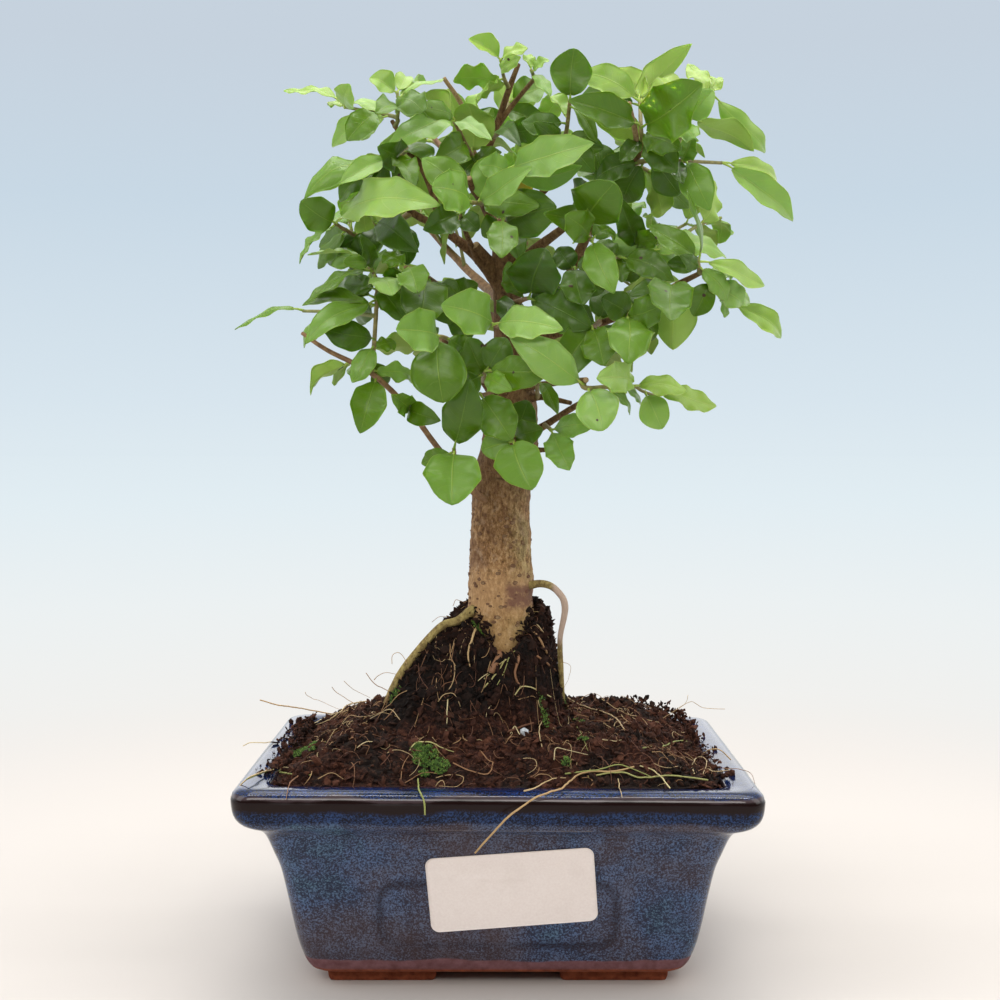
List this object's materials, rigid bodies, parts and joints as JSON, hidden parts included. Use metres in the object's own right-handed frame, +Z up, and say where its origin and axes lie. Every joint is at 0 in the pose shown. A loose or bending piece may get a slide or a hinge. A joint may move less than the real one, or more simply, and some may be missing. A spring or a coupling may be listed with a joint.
{
  "type": "chinese privet bonsai",
  "caption": "Small upright bonsai tree with a leafy open crown and surface roots, growing in soil heaped up in a rounded oblong glazed clay pot on corner feet.",
  "frame": {"origin": "middle of the whole part's outline on the surface that the feet stand on", "axes": "+Z up along the trunk, -Y towards the front with the paper sticker, +X to the right of the front"},
  "size_m": [0.1792, 0.1596, 0.2919],
  "materials": {
    "pot_glaze": "glossy speckled blue and brown-grey glaze",
    "bare_clay": "matt unglazed clay",
    "potting_soil": "damp fibrous soil",
    "bark": "smooth tan-brown bark",
    "twig_bark": "smooth thin bark",
    "leaf_young": "glossy yellow-green",
    "leaf_mature": "glossy dark green",
    "rootlets": "pale dry fibres",
    "moss": "soft green tufts",
    "plain_paper": "smooth white paper"
  },
  "bodies": {
    "root": {"pot": "pot_glaze", "soil": "potting_soil", "spray_back_left": "leaf_mature", "spray_back_low_left": "leaf_mature", "spray_back_low_right": "leaf_mature", "spray_back_right": "leaf_mature", "spray_back_top": "leaf_mature", "spray_centre_dark": "leaf_mature", "spray_centre_front": "leaf_mature", "spray_centre_low": "leaf_mature", "spray_centre_pale": "leaf_mature", "spray_centre_right": "leaf_mature", "spray_crest": "leaf_young", "spray_crest_back": "leaf_mature", "spray_crest_left": "leaf_young", "spray_crest_low": "leaf_mature", "spray_crest_right": "leaf_young", "spray_dark_pair": "leaf_mature", "spray_deep_back": "leaf_mature", "spray_front_crest": "leaf_young", "spray_front_top": "leaf_mature", "spray_left_far": "leaf_young", "spray_left_inner": "leaf_mature", "spray_left_low": "leaf_mature", "spray_left_round": "leaf_mature", "spray_left_tip": "leaf_young", "spray_left_top": "leaf_young", "spray_low_pair": "leaf_mature", "spray_right_back": "leaf_mature", "spray_right_crown": "leaf_young", "spray_right_dark": "leaf_mature", "spray_right_fore": "leaf_mature", "spray_right_hang": "leaf_mature", "spray_right_inner": "leaf_mature", "spray_right_long": "leaf_mature", "spray_right_low": "leaf_young", "spray_right_mid": "leaf_mature", "spray_right_round": "leaf_mature", "spray_right_shade": "leaf_mature", "spray_right_tip": "leaf_mature", "spray_right_upper": "leaf_mature", "spray_side_left": "leaf_mature", "spray_side_right": "leaf_mature", "spray_stub_shoot": "leaf_mature", "spray_thin_shoot": "leaf_young", "spray_top_right": "leaf_young", "spray_trunk_front": "leaf_young", "spray_trunk_left": "leaf_mature", "spray_upper_left": "leaf_young", "sticker": "plain_paper", "trunk": "bark"}
  },
  "joints": []
}
